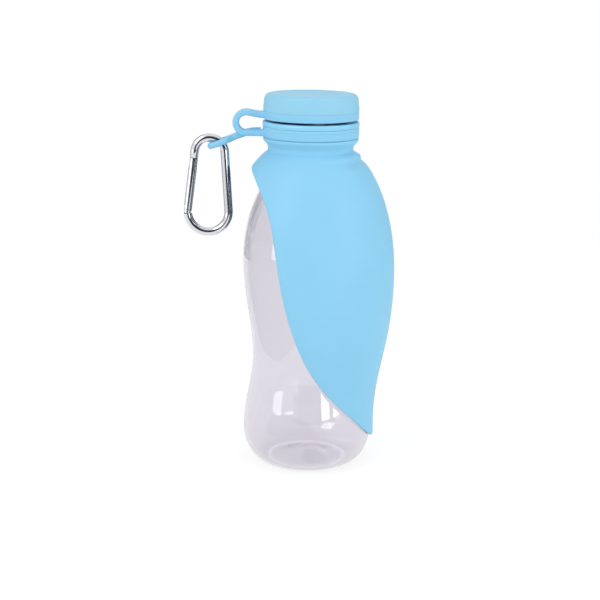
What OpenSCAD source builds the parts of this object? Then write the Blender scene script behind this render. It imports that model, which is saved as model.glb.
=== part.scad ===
// Dog travel water bottle: a clear bottle, a soft leaf-shaped drinking bowl
// wrapped around it, a screw cap on a loop, and a snap hook on a strap.
// The bottle stands on z = 0 with its axis on z. The leaf's tip points to +X
// and the snap hook hangs on the -X side. All sizes are in millimetres.

/* [Bottle] */
// Radius at the widest place of the base
base_r = 36.6; // [34:0.2:40]
// Height of that widest place above the ground
base_h = 19; // [15:1:24]
// Radius of the waist
waist_r = 31.5; // [28:0.5:33.5]
// Rise from the widest place of the base to the waist
waist_rise = 42; // [36:1:50]
// Radius of the belly
belly_r = 37.3; // [35:0.1:40]
// Rise from the waist to the belly
belly_rise = 56; // [48:1:64]
// Height of the domed shoulder, if it ran on to the axis
dome_h = 61; // [56:1:64]
// Rise from the belly to the ledge on the neck
neck_rise = 65; // [62:1:72]
// Outer radius of the standing ring
foot_r = 23; // [20:0.5:26]
// Width of the standing ring
foot_w = 3; // [2:0.5:5]
// Height of the hollow under the base
push_up = 5; // [3:0.5:8]
// Wall of the blown body
bottle_wall = 0.8; // [0.6:0.1:1.2]
// Radius of the neck at the root of its thread
neck_r = 20.4; // [19:0.1:22]
// Wall of the neck
neck_wall = 1.6; // [1.2:0.1:2.2]
// Thickness of the ledge on the neck
ledge_t = 1.8; // [1.2:0.1:2.4]

/* [Thread] */
// Height of a thread ridge above its root
ridge_h = 1.1; // [0.7:0.1:1.4]
// Width of a ridge at its root
ridge_w = 1.9; // [1.4:0.1:2.2]
// Width of a ridge at its crest
crest_w = 0.9; // [0.5:0.1:1.2]
// Rise from one ridge to the next
ridge_step = 4; // [3.6:0.2:5]
// Number of ridges side by side
starts = 4; // [2:1:5]

/* [Leaf bowl] */
// Wall of the silicone leaf
leaf_wall = 1.5; // [1.2:0.1:2]
// How far the leaf stands off the bottle's belly
leaf_stand = 9.4; // [6:0.2:13]
// Height of the leaf's widest place
leaf_mid_z = 109; // [100:1:116]
// Height of the leaf's tip
tip_z = 14.4; // [11:0.2:22]
// Height of the high point of the rim, opposite the tip
notch_z = 169.2; // [166:0.2:171]
// Thickness of the flange that the collar clamps
flange_t = 4.2; // [3.4:0.1:5]
// How far the flange stands out from the sleeve
flange_out = 2.7; // [1.5:0.1:3]

/* [Collar and tether] */
// Height of the collar's top lip
lip_h = 2.7; // [2:0.1:4]
// Height of the silicone band round the collar
band_h = 5.5; // [4.8:0.1:7]
// Thickness of that band
band_t = 2.3; // [1.8:0.1:3]
// Width of the loop strap and of the hook strap
strap_w = 6.4; // [5:0.2:7.6]
// Thickness of the loop strap
loop_t = 3.6; // [2.6:0.1:3.8]
// How far the loop stands out from the collar
loop_out = 16.2; // [14:0.2:22]

/* [Cap] */
// Height of the cap
cap_h = 13.4; // [12.5:0.1:17]
// Open line between the collar and the cap
cap_gap = 1.7; // [1:0.1:2.4]
// Thickness of the cap's silicone skin
skin_t = 2.1; // [1.6:0.1:2.6]
// Wall of the cap's hard insert
insert_t = 2.3; // [1.8:0.1:3]
// Thickness of the insert's top plate
plate_t = 1.4; // [1:0.1:2]
// Thickness of the seal
seal_t = 1.1; // [0.8:0.1:1.6]
// Height of the swivel ring at the foot of the cap
swivel_h = 3.9; // [3.8:0.1:5]

/* [Snap hook] */
// Diameter of the hook's wire
wire_d = 4.8; // [4.4:0.1:5.2]
// Radius of the hook's top bend, to the wire's centre
hook_top_r = 8.4; // [8:0.1:10]
// Radius of the hook's bottom bend, to the wire's centre
hook_low_r = 11.5; // [10.5:0.1:13]
// Distance between the centres of the two bends
hook_span = 33.3; // [31:0.1:38]
// Width of the wall beside the hook strap's eye
eye_wall = 2.6; // [2:0.1:3.4]
// Thickness of the hook strap
strap_t = 4; // [3:0.1:4.6]
// Diameter of the gate's pivot rivet
rivet_d = 1.6; // [1.2:0.1:2]
// Diameter of the gate's latch pin
latch_d = 1.2; // [1:0.1:1.4]

/* [Hidden] */
$fn = 96;

// Clearances: between pieces that are pressed together, and between pieces that move
fit = 0.1;
slack = 0.25;
run = 0.05;

// Heights of the bottle
waist_z = base_h + waist_rise;
belly_z = waist_z + belly_rise;
ledge_z = belly_z + neck_rise;

// Thread: the same helix carries the collar and the cap
lead = ridge_step * starts;
thread_root = neck_r + ridge_h + 0.4;
thread_crest = thread_root - ridge_h;
ridge_sides = 24;

// Stack on the neck, from the ledge up
collar_z = ledge_z + flange_t + fit;
band_z = collar_z + slack;
lip_z = band_z + band_h + slack;
collar_top = lip_z + lip_h;
cap_z = collar_top + cap_gap;
cap_top = cap_z + cap_h;
plate_z = cap_top - skin_t - plate_t;
seal_z = plate_z - seal_t;
mouth_z = seal_z - fit;

// Radii of the stack
bore_r = neck_r - neck_wall;
ledge_r = neck_r + 1.6;
spool_r = thread_root + insert_t;
band_in_r = spool_r + fit;
band_r = band_in_r + band_t;
lip_r = band_r + 0.3;
skin_in_r = spool_r + fit;
cap_r = skin_in_r + skin_t;
swivel_in_r = spool_r + slack;
foot_lip_t = 0.9;
foot_lip_out = 0.9;

// Leaf
sleeve_in_r = ledge_r + 0.2;
sleeve_r = sleeve_in_r + leaf_wall;
flange_in_r = neck_r + slack;
sleeve_foot_z = ledge_z - 3.4;
tip_r = base_r + 0.3 + leaf_wall;
leaf_mid_r = belly_r + leaf_stand + leaf_wall;
leaf_steps = 12;
rim_steps = 12;

// Bend line of the leaf: the petal turns about the line y at this point
bend_x = sleeve_r + 7.6;
bend_z = sleeve_foot_z - 4.2;
cut_lean = 32.7;

// Places of the two straps on the band, either side of the plane y = 0
strap_gap = 1;
strap_y = (strap_w + strap_gap) / 2;
tab_x = -(lip_r + 1.4);
low_tab_z = band_z + strap_t / 2;
swivel_z = cap_z;
top_tab_z = swivel_z + loop_t / 2 + 0.1;
loop_r = (top_tab_z + 1.2 - low_tab_z) / 2;
loop_x = -(lip_r + loop_out - loop_r - loop_t / 2);

// Hook strap: it bends at the round root beside the band's tab, then follows a curve to
// the eye with its slot. The two leads set how straight the curve leaves each end.
root_x = tab_x - slack - strap_t / 2;
root_lead = 6;
eye_lead = 6;
eye_t = strap_t - 0.6;
eye_x = tab_x - 21.9;
eye_z = low_tab_z - 6.5;
eye_lean = 20;
slot_w = wire_d + 1.1;
slot_l = wire_d + 4.2;
eye_w = slot_w + 2 * eye_wall;

// Hook: centres of its two bends, and the lines that touch both
wire_r = wire_d / 2;
cross_a = 44.5;
top_x = eye_x - hook_top_r * cos(cross_a);
top_z = eye_z - hook_top_r * sin(cross_a);
low_x = top_x - 0.95;
low_z = top_z - hook_span;
span_l = norm([low_x - top_x, low_z - top_z]);
span_a = atan2(low_z - top_z, low_x - top_x);
touch_a = acos((hook_top_r - hook_low_r) / span_l);
right_a = span_a + touch_a;
left_a = span_a - touch_a;
gate_a = left_a - 90;
pivot_x = low_x + hook_low_r * cos(left_a);
pivot_z = low_z + hook_low_r * sin(left_a);
gate_run = span_l * sin(touch_a);
nose_l = 4;
gate_l = gate_run - nose_l - 0.3;
tongue_t = 1.8;
tongue_l = 4.6;
heel_r = 1.8;
ear_r = 2.3;
gate_bore_r = wire_r - 0.75;
spring_z = 4.9;
spring_l = 12;
spring_wire = 0.5;
spring_turns = 9;

// A point on a cubic curve, and the slope there
function cubic(p, t) = p[0] * pow(1 - t, 3) + 3 * p[1] * t * pow(1 - t, 2)
    + 3 * p[2] * t * t * (1 - t) + p[3] * t * t * t;
function curve(p, steps) = [for (i = [0:steps]) cubic(p, i / steps)];

// The line that lies d to the left of an open line of points
function side(a, d) = [for (i = [0:len(a) - 1])
    let (b = a[max(i - 1, 0)], c = a[min(i + 1, len(a) - 1)], u = (c - b) / norm(c - b))
    a[i] + d * [-u[1], u[0]]];
function reversed(a) = [for (i = [len(a) - 1:-1:0]) a[i]];
function tail(a) = [for (i = [1:len(a) - 1]) a[i]];

// A soft wave from one radius to the next
function wave(z0, r0, z1, r1, steps) = [for (i = [1:steps])
    let (k = i / steps) [(r0 + r1) / 2 + (r0 - r1) / 2 * cos(180 * k), z0 + (z1 - z0) * k]];

// Outline of the bottle, from the standing ring up to the neck
dome_end = acos(neck_r / belly_r);
bottle_line = concat(
    [for (a = [0:10:90]) [foot_r + (base_r - foot_r) * sin(a), base_h * (1 - cos(a))]],
    wave(base_h, base_r, waist_z, waist_r, 12),
    wave(waist_z, waist_r, belly_z, belly_r, 14),
    [for (k = [1:12]) [belly_r * cos(dome_end * k / 12), belly_z + dome_h * sin(dome_end * k / 12)]]
);
hollow_line = [for (a = [90:-15:0])
    [(foot_r - foot_w) * cos(a), push_up * sin(a)]];

// Joins rings of points into one closed skin
module skin(rings) {
    n = len(rings);
    m = len(rings[0]);
    polyhedron(
        points = [for (r = rings) each r],
        faces = concat(
            [for (i = [0:n - 2]) for (j = [0:m - 1])
                [i * m + j, i * m + (j + 1) % m, (i + 1) * m + (j + 1) % m]],
            [for (i = [0:n - 2]) for (j = [0:m - 1])
                [i * m + j, (i + 1) * m + (j + 1) % m, (i + 1) * m + j]],
            [[for (j = [m - 1:-1:0]) j]],
            [[for (j = [0:m - 1]) (n - 1) * m + j]]
        )
    );
}

// One set of thread ridges between two heights. They stand out from the root by out,
// which is negative on an inner thread, and reach sunk into the wall that carries them.
module ridges(z_low, z_high, root, out, shift) {
    sunk = 0.2;
    rise = z_high - z_low - ridge_w;
    turn = 360 * rise / lead;
    steps = ceil(turn / 360 * ridge_sides);
    way = out > 0 ? 1 : -1;
    for (s = [0:starts - 1])
        skin([for (i = [0:steps])
            let (k = i / steps,
                 z = z_low + ridge_w / 2 + rise * k,
                 a = 360 * (z - ledge_z + shift) / lead + 360 * s / starts,
                 up = out * min(1, 0.25 + 4 * k, 0.25 + 4 * (1 - k)),
                 ring = [[root - way * sunk, -ridge_w / 2], [root + up, -crest_w / 2],
                         [root + up, crest_w / 2], [root - way * sunk, ridge_w / 2]])
            [for (p = way > 0 ? ring : reversed(ring)) [p[0] * cos(a), p[0] * sin(a), z + p[1]]]]);
}

// A tube between two radii and two heights
module tube(r_in, r_out, z0, z1) {
    rotate_extrude()
        translate([r_in, z0])
            square([r_out - r_in, z1 - z0]);
}

// The clear blown bottle, with its threaded neck and the ledge under the thread
module bottle() {
    inner = side(bottle_line, bottle_wall);
    inner_hollow = [for (p = hollow_line) p + [0, bottle_wall]];
    shoulder = [for (p = inner) if (p[0] > bore_r + 0.2 && p[1] > bottle_wall) p];
    color("lavender", 0.4) {
        rotate_extrude()
            polygon(concat(
                hollow_line,
                bottle_line,
                [[neck_r, ledge_z - ledge_t - 0.6], [ledge_r, ledge_z - ledge_t],
                 [ledge_r, ledge_z], [neck_r, ledge_z],
                 [neck_r, mouth_z - 0.5], [neck_r - 0.5, mouth_z],
                 [bore_r + 0.4, mouth_z], [bore_r, mouth_z - 0.4],
                 [bore_r, shoulder[len(shoulder) - 1][1] + 1]],
                reversed(shoulder),
                reversed(inner_hollow)
            ));
        ridges(collar_z, mouth_z - 1, neck_r, ridge_h, 0);
    }
}

// Outline of the leaf in the plane y = 0, from the sleeve down to the tip
leaf_line = concat(
    [[sleeve_r, ledge_z - 0.4]],
    curve([[sleeve_r, sleeve_foot_z], [sleeve_r + 12.5, sleeve_foot_z - 8.2],
           [leaf_mid_r, leaf_mid_z + 34.5], [leaf_mid_r, leaf_mid_z]], leaf_steps),
    tail(curve([[leaf_mid_r, leaf_mid_z], [leaf_mid_r, leaf_mid_z - 42.8],
                [tip_r - 0.9, base_h + 35.7], [tip_r, base_h + 1]], leaf_steps)),
    [[tip_r, tip_z - 4]]
);

// Rim of the leaf seen from the side: from its high point at the back, down past the
// bottle's shoulder, then round to the tip
rim_line = concat(
    curve([[-33.2, notch_z], [-17.3, notch_z - 22.6],
           [-20.6, leaf_mid_z + 25.2], [-14.6, leaf_mid_z - 2]], rim_steps),
    tail(curve([[-14.6, leaf_mid_z - 2], [-1.5, leaf_mid_z - 61.8],
                [tip_r - 18.3, tip_z + 31.1], [tip_r, tip_z]], rim_steps))
);

// The whole leaf as one silicone moulding, before it is parted at the bend
module whole_leaf() {
    inner = side(leaf_line, -leaf_wall);
    reach = leaf_mid_r + 10;
    intersection() {
        rotate_extrude()
            polygon(concat(
                [[flange_in_r, ledge_z + fit / 2], [flange_in_r, ledge_z + flange_t],
                 [sleeve_r + flange_out, ledge_z + flange_t],
                 [sleeve_r + flange_out, ledge_z + flange_t - 1.5]],
                leaf_line,
                reversed(tail(inner)),
                [[sleeve_in_r, ledge_z + fit / 2]]
            ));
        rotate([90, 0, 0])
            linear_extrude(2 * reach, center = true)
                polygon(concat(
                    [[-reach, notch_z + 1.42 * (reach - 33.2)]],
                    rim_line,
                    [[reach, tip_z], [reach, collar_top], [-reach, collar_top]]
                ));
    }
}

// Everything on the petal's side of the bend, moved away from the bend line by gap
module petal_side(gap) {
    size = 4 * leaf_mid_r;
    translate([bend_x, 0, bend_z])
        rotate([0, cut_lean, 0])
            translate([gap, -size / 2, -size])
                cube([size, size, 2 * size]);
}

// The part of the leaf that stays: flange, sleeve and the back of the bowl
module leaf_sleeve() {
    color("lightskyblue")
        difference() {
            whole_leaf();
            petal_side(0);
        }
}

// The part of the leaf that lifts away from the bottle
module leaf_petal() {
    color("lightskyblue")
        intersection() {
            whole_leaf();
            petal_side(slack);
        }
}

// The hard threaded collar that clamps the band and the leaf's flange to the ledge
module collar() {
    color("deepskyblue") {
        rotate_extrude()
            polygon([[thread_root, collar_z], [spool_r, collar_z], [spool_r, lip_z],
                     [lip_r - 0.3, lip_z], [lip_r, collar_top - 1], [lip_r - 0.5, collar_top],
                     [thread_root, collar_top]]);
        ridges(collar_z + 1, collar_top - 1, thread_root, -ridge_h, ridge_step / 2);
    }
}

// A block that carries a strap's end on a ring, from the ring's wall out to the tab's face
module tab(y, z, height, r_in) {
    difference() {
        translate([tab_x, y - strap_w / 2, z - height / 2])
            cube([-tab_x - r_in * 0.8, strap_w, height]);
        translate([0, 0, z - height])
            cylinder(r = r_in, h = 2 * height);
    }
}

// The silicone band round the collar, with the roots of the loop and of the hook strap
module tether_band() {
    color("skyblue") {
        rotate_extrude()
            polygon([[band_in_r, band_z], [band_r - 0.8, band_z], [band_r, band_z + 0.9],
                     [band_r, band_z + band_h], [band_in_r, band_z + band_h]]);
        tab(-strap_y, low_tab_z, loop_t, band_in_r);
        tab(strap_y, low_tab_z, strap_t, band_in_r);
    }
}

// A band of rounded section that follows a line in a plane of constant y
function band_ring(p, u, half_w, half_t) = let (n = [-u[1], u[0]], c = 0.7) [
    for (q = [[-half_w, -half_t + c], [-half_w + c, -half_t], [half_w - c, -half_t], [half_w, -half_t + c],
              [half_w, half_t - c], [half_w - c, half_t], [-half_w + c, half_t], [-half_w, half_t - c]])
    [p[0] + n[0] * q[1], q[0], p[1] + n[1] * q[1]]];
function slope(a, i) = i == 0 || i == len(a) - 1 ? [-1, 0] * (i == 0 ? 1 : -1)
    : (a[i + 1] - a[i - 1]) / norm(a[i + 1] - a[i - 1]);

// The loop that ties the cap to the collar
module cap_loop() {
    loop_z = low_tab_z + loop_r;
    start = tab_x - slack / 2;
    line = concat(
        curve([[start, top_tab_z], [start - 3, top_tab_z],
               [loop_x + 3, loop_z + loop_r], [loop_x, loop_z + loop_r]], 4),
        [for (a = [105:15:255]) [loop_x + loop_r * cos(a), loop_z + loop_r * sin(a)]],
        [for (k = [0:2]) [loop_x + (start - loop_x) * k / 2, low_tab_z]]
    );
    color("skyblue")
        translate([0, -strap_y, 0])
            skin([for (i = [0:len(line) - 1])
                band_ring(line[i], slope(line, i), strap_w / 2, loop_t / 2)]);
}

// The silicone ring in which the cap turns, with the root of the loop
module swivel_ring() {
    lip_in = spool_r + foot_lip_out + slack;
    step_z = swivel_z + foot_lip_t + slack;
    color("skyblue") {
        rotate_extrude()
            polygon([[lip_in, swivel_z], [cap_r - 0.4, swivel_z], [cap_r, swivel_z + 0.5],
                     [cap_r, swivel_z + swivel_h], [swivel_in_r, swivel_z + swivel_h],
                     [swivel_in_r, step_z], [lip_in, step_z]]);
        tab(-strap_y, top_tab_z, loop_t, lip_in);
    }
}

// The cap's hard insert: threaded skirt, top plate and the lip that holds the swivel ring
module cap_insert() {
    color("azure") {
        rotate_extrude()
            polygon([[thread_root, cap_z], [spool_r + foot_lip_out, cap_z],
                     [spool_r + foot_lip_out, cap_z + foot_lip_t], [spool_r, cap_z + foot_lip_t],
                     [spool_r, plate_z + plate_t], [0, plate_z + plate_t],
                     [0, plate_z], [thread_root, plate_z]]);
        ridges(cap_z + 1, seal_z - 0.4, thread_root, -ridge_h, ridge_step / 2);
    }
}

// The silicone skin over the cap, with a round shoulder and a shallow dished top
module cap_skin() {
    foot = swivel_z + swivel_h + slack;
    edge_r = 3;
    color("lightskyblue")
        rotate_extrude()
            polygon(concat(
                [[skin_in_r, foot], [cap_r, foot], [cap_r, foot + 2]],
                [for (a = [0:15:90])
                    [cap_r - 0.5 - edge_r + edge_r * cos(a), cap_top - edge_r + edge_r * sin(a)]],
                [[cap_r - edge_r - 3.4, cap_top], [cap_r - edge_r - 4.2, cap_top - 0.5],
                 [0, cap_top - 0.5], [0, plate_z + plate_t + fit], [skin_in_r, plate_z + plate_t + fit]]
            ));
}

// The flat ring that seals the bottle's mouth under the plate
module cap_seal() {
    color("white")
        tube(bore_r - 1.3, thread_root - fit, seal_z, plate_z);
}

// The strap that carries the snap hook, with a slotted eye at its end
module hook_strap() {
    tip_x = eye_x - slot_l / 2 - eye_wall;
    tip_low = eye_z - (eye_x - tip_x) * tan(eye_lean);
    line = curve([[root_x, low_tab_z], [root_x - root_lead, low_tab_z],
                  [eye_x + eye_lead, eye_z + eye_lead * tan(eye_lean)], [eye_x, eye_z]], 8);
    spine = concat(line, [[tip_x - 1, tip_low - tan(eye_lean)]]);
    half = [for (i = [0:len(spine) - 1])
        (strap_t + (eye_t - strap_t) * min(1, i / (len(line) - 1))) / 2];
    upper = side(spine, -1);
    thick = [for (i = [0:len(spine) - 1]) upper[i] - spine[i]];
    end_r = eye_w / 2;
    color("skyblue")
        difference() {
            intersection() {
                translate([0, strap_y, 0])
                    rotate([90, 0, 0])
                        linear_extrude(eye_w, center = true) {
                            polygon(concat(
                                [for (i = [0:len(spine) - 1]) spine[i] + thick[i] * half[i]],
                                reversed([for (i = [0:len(spine) - 1]) spine[i] - thick[i] * half[i]])
                            ));
                            translate([root_x, low_tab_z])
                                circle(d = strap_t, $fn = 32);
                        }
                translate([0, strap_y, 0])
                    union() {
                        translate([eye_x, -strap_w / 2, eye_z - 20])
                            cube([root_x + strap_t - eye_x, strap_w, 40]);
                        translate([tip_x + end_r, 0, eye_z - 20])
                            cylinder(r = end_r, h = 40);
                        translate([tip_x + end_r, -end_r, eye_z - 20])
                            cube([slot_l - slot_w, eye_w, 40]);
                        translate([tip_x + end_r + slot_l - slot_w, 0, eye_z - 20])
                            cylinder(r = end_r, h = 40);
                    }
            }
            translate([eye_x, strap_y, eye_z])
                rotate([0, -eye_lean, 0])
                    for (k = [-1, 1])
                        union() {
                            translate([k * (slot_l - slot_w) / 2, 0, -10])
                                cylinder(d = slot_w, h = 20);
                            translate([-(slot_l - slot_w) / 2, -slot_w / 2, -10])
                                cube([slot_l - slot_w, slot_w, 20]);
                        }
        }
}

// A bend of the hook's wire about a centre, from one angle to another in the plane of x and z.
// It is a hair thinner than the straight rods, which run on over its ends.
module bend(x, z, r, from, to) {
    translate([x, 0, z])
        rotate([90, 0, 0])
            rotate([0, 0, from])
                rotate_extrude(angle = to - from)
                    translate([r, 0])
                        circle(d = wire_d - 0.06, $fn = 32);
}

// Puts its children on the gate's line: up is towards the nose, and the pivot is at z = 0
module on_gate() {
    translate([pivot_x, strap_y, pivot_z])
        rotate([0, 90 - gate_a, 0])
            children();
}

// A straight rod of the hook's wire between two heights on the gate's line
module rod(z0, z1) {
    translate([0, 0, z0])
        cylinder(d = wire_d, h = z1 - z0, $fn = 32);
}

// The snap hook's bent wire frame, with a hooked nose and a flat heel for the gate
module hook_frame() {
    nose_z = gate_run - nose_l;
    notch_w = latch_d + 0.4;
    latch_z = gate_l - 2.3;
    right_x = top_x + hook_top_r * cos(right_a);
    right_z = top_z + hook_top_r * sin(right_a);
    color("silver") {
        translate([0, strap_y, 0]) {
            bend(top_x, top_z, hook_top_r, right_a, left_a + 360);
            bend(low_x, low_z, hook_low_r, left_a + 360 + 12, right_a + 360);
            translate([right_x, 0, right_z])
                rotate([0, -right_a, 0])
                    translate([0, 0, -gate_run - 0.5])
                        cylinder(d = wire_d, h = gate_run + 1, $fn = 32);
        }
        on_gate() {
            rod(nose_z, gate_run + 0.5);
            difference() {
                translate([-1.7, -tongue_t / 2, nose_z - tongue_l])
                    cube([3.4, tongue_t, tongue_l + 0.5]);
                translate([-notch_w / 2, -tongue_t, latch_z - notch_w / 2])
                    cube([4, 2 * tongue_t, notch_w]);
            }
            difference() {
                union() {
                    rotate([90, 0, 0])
                        cylinder(r = heel_r, h = tongue_t, center = true);
                    translate([-heel_r, -tongue_t / 2, -3.4])
                        cube([2 * heel_r, tongue_t, 3.4]);
                }
                rotate([90, 0, 0])
                    cylinder(d = rivet_d + 2 * run, h = 3 * tongue_t, center = true);
            }
        }
    }
}

// The sprung gate: a rod bored for its spring and slotted at both ends
module hook_gate() {
    slot_t = tongue_t + 0.4;
    color("gainsboro")
        on_gate()
            difference() {
                union() {
                    rod(0, gate_l);
                    intersection() {
                        rotate([90, 0, 0])
                            cylinder(r = ear_r, h = wire_d, center = true);
                        rod(-ear_r, 0.1);
                    }
                }
                translate([0, 0, -wire_d])
                    cylinder(r = gate_bore_r, h = wire_d + spring_z + spring_l + 0.3, $fn = 32);
                translate([-wire_d, -slot_t / 2, -wire_d])
                    cube([2 * wire_d, slot_t, wire_d + heel_r + 0.3]);
                translate([-wire_d, -slot_t / 2, gate_l - tongue_l - 0.4])
                    cube([2 * wire_d, slot_t, tongue_l + 1]);
                rotate([90, 0, 0])
                    cylinder(d = rivet_d + 0.04, h = 2 * wire_d, center = true);
                translate([0, 0, gate_l - 2.3])
                    rotate([90, 0, 0])
                        cylinder(d = latch_d + 0.04, h = 2 * wire_d, center = true, $fn = 32);
            }
}

// The rivet that the gate turns on
module gate_rivet() {
    color("gray")
        on_gate()
            rotate([90, 0, 0]) {
                cylinder(d = rivet_d, h = wire_d - 0.2, center = true);
            }
}

// The pin that catches in the nose
module gate_latch_pin() {
    color("gray")
        on_gate()
            translate([0, 0, gate_l - 2.3])
                rotate([90, 0, 0])
                    cylinder(d = latch_d, h = wire_d - 0.6, center = true, $fn = 32);
}

// The coil spring inside the gate
module gate_spring() {
    coil_r = gate_bore_r - spring_wire / 2 - 0.1;
    sides = 8;
    color("dimgray")
        on_gate()
            skin([for (i = [0:spring_turns * sides])
                let (a = 360 * i / sides,
                     z = spring_z + spring_wire + (spring_l - 2 * spring_wire) * i / (spring_turns * sides))
                [for (b = [0:60:300]) let (q = coil_r + spring_wire / 2 * cos(b))
                    [q * cos(a), q * sin(a), z + spring_wire / 2 * sin(b)]]]);
}

// The small plunger that the spring pushes against the frame's heel
module gate_plunger() {
    color("gray")
        on_gate()
            translate([0, 0, heel_r + 0.5])
                cylinder(r = gate_bore_r - 0.1, h = spring_z - heel_r - 0.5, $fn = 32);
}

bottle();
leaf_sleeve();
leaf_petal();
collar();
tether_band();
cap_loop();
swivel_ring();
cap_insert();
cap_skin();
cap_seal();
hook_strap();
hook_frame();
hook_gate();
gate_rivet();
gate_latch_pin();
gate_spring();
gate_plunger();
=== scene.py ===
# A dog travel water bottle: a clear bottle with a leaf-shaped drinking bowl wrapped round it,
# a screw cap tied on by a loop, and a snap hook on a strap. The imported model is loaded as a
# fixed frame, and each soft or smooth piece is modelled afresh in the place its solid holds.
import math
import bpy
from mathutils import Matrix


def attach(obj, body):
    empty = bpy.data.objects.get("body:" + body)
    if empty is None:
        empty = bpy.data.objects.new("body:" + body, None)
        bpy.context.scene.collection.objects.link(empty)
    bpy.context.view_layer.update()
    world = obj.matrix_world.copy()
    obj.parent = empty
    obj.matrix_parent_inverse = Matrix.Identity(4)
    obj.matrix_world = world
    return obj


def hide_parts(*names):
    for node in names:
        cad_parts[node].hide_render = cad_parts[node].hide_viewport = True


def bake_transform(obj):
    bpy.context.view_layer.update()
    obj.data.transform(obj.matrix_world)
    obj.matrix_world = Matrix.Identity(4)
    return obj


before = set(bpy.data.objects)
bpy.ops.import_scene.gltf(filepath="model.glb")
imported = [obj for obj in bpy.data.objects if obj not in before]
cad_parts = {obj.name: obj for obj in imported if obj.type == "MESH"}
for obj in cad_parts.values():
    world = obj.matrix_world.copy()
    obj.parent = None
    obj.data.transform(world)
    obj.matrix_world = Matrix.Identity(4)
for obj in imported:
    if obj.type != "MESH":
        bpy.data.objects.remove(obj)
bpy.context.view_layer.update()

from types import SimpleNamespace

import bpy
from mathutils import Vector

bl_info = {
    "name": "Travel water bottle",
    "version": (1, 0, 0),
    "blender": (4, 5, 0),
    "location": "View3D > Sidebar > Bottle",
    "description": "Models a travel water bottle with a leaf bowl, a tied cap and a snap hook",
    "category": "Object",
}

MM = 0.001

# Small fixed details, in millimetres unless they say otherwise
POLE_R = 0.004         # radius of the tiny ring that ends a turned piece on its axis
LEDGE_REACH = 1.6      # how far the ledge stands out from the neck
THREAD_FOOT = 4.3      # from the ledge to the foot of the lowest ridge
THREAD_HEAD = 1        # from the top ridge to the mouth
CREASE_DROP = 3.4      # how far the shoulder's crease lies below the sleeve's foot
CREASE_SHARP = 0.6     # half width of the turn from its ridge to its dent
CREASE_REACH = 2.8     # height over which ridge and dent fade out
CREASE_TURN = -22      # degrees round the bottle to its middle
CREASE_SPAN = 34       # degrees over which it fades out to each side
ROW_EASE = 1.6         # power that sets the leaf's rows closer at the neck, for the crease
HEEL_R = 1.8           # radius of the heel's round end
RIVET_R = 0.85         # radius of the rivet's hole
LATCH_HALF = 0.8       # half height of the notch for the latch pin


def colour(text):
    """A colour written as sRGB hex, as linear red, green, blue and alpha."""
    values = [int(text[i:i + 2], 16) / 255 for i in (0, 2, 4)]
    linear = [v / 12.92 if v <= 0.04045 else ((v + 0.055) / 1.055) ** 2.4 for v in values]
    return tuple(linear) + (1.0,)


def length(name, millimetres, description):
    """A property that holds a length."""
    return bpy.props.FloatProperty(name=name, description=description, default=millimetres * MM,
                                   min=0.0, precision=5, unit="LENGTH", subtype="DISTANCE")


def paint(name, text, description):
    """A property that holds a colour."""
    return bpy.props.FloatVectorProperty(name=name, description=description, size=4, min=0.0, max=1.0,
                                         subtype="COLOR", default=colour(text))


class BottleSizes(bpy.types.PropertyGroup):
    base_r: length("Base radius", 36.6, "Radius at the widest place of the base")
    base_h: length("Base height", 19, "Height of that widest place above the ground")
    waist_r: length("Waist radius", 31.5, "Radius of the waist")
    waist_z: length("Waist height", 61, "Height of the waist above the ground")
    belly_r: length("Belly radius", 37.3, "Radius of the belly")
    belly_z: length("Belly height", 117, "Height of the belly above the ground")
    dome_h: length("Dome height", 61, "Height of the domed shoulder, if it ran on to the axis")
    foot_r: length("Foot radius", 23, "Outer radius of the standing ring")
    foot_w: length("Foot width", 3, "Width of the standing ring")
    push_up: length("Push-up", 5, "Height of the hollow under the base")
    wall: length("Wall", 0.8, "Wall of the blown body")
    neck_r: length("Neck radius", 20.4, "Radius of the neck at the root of its thread")
    neck_wall: length("Neck wall", 1.6, "Wall of the neck")
    ledge_z: length("Ledge height", 182, "Height of the top of the ledge on the neck")
    ledge_t: length("Ledge thickness", 1.8, "Thickness of the ledge")
    mouth_z: length("Mouth height", 205.4, "Height of the bottle's mouth")


class ThreadSizes(bpy.types.PropertyGroup):
    height: length("Ridge height", 1.1, "Height of a ridge above its root")
    width: length("Ridge width", 1.9, "Width of a ridge at its root")
    crest: length("Crest width", 0.9, "Width of a ridge at its crest")
    step: length("Ridge step", 4, "Rise from one ridge to the next")
    starts: bpy.props.IntProperty(name="Starts", description="Number of ridges side by side",
                                  default=4, min=1)


class LeafSizes(bpy.types.PropertyGroup):
    wall: length("Wall", 1.5, "Wall of the silicone leaf")
    sleeve_r: length("Sleeve radius", 23.7, "Outer radius of the sleeve under the collar")
    sleeve_foot_z: length("Sleeve foot", 178.6, "Height at which the sleeve turns into the leaf")
    mid_r: length("Widest radius", 48.2, "Outer radius at the leaf's widest place")
    mid_z: length("Widest height", 109, "Height of the leaf's widest place")
    tip_r: length("Tip radius", 38.4, "Outer radius at the tip")
    tip_z: length("Tip height", 14.4, "Height of the tip")
    notch_z: length("Rim's high point", 169.2, "Height of the rim opposite the tip")
    flange_in: length("Flange bore", 20.65, "Inner radius of the clamped flange")
    flange_out: length("Flange reach", 2.7, "How far the flange stands out from the sleeve")
    flange_t: length("Flange thickness", 4.2, "Thickness of the flange")
    fold: length("Shoulder fold", 1.7, "How far the soft fold in the shoulder stands out")


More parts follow.
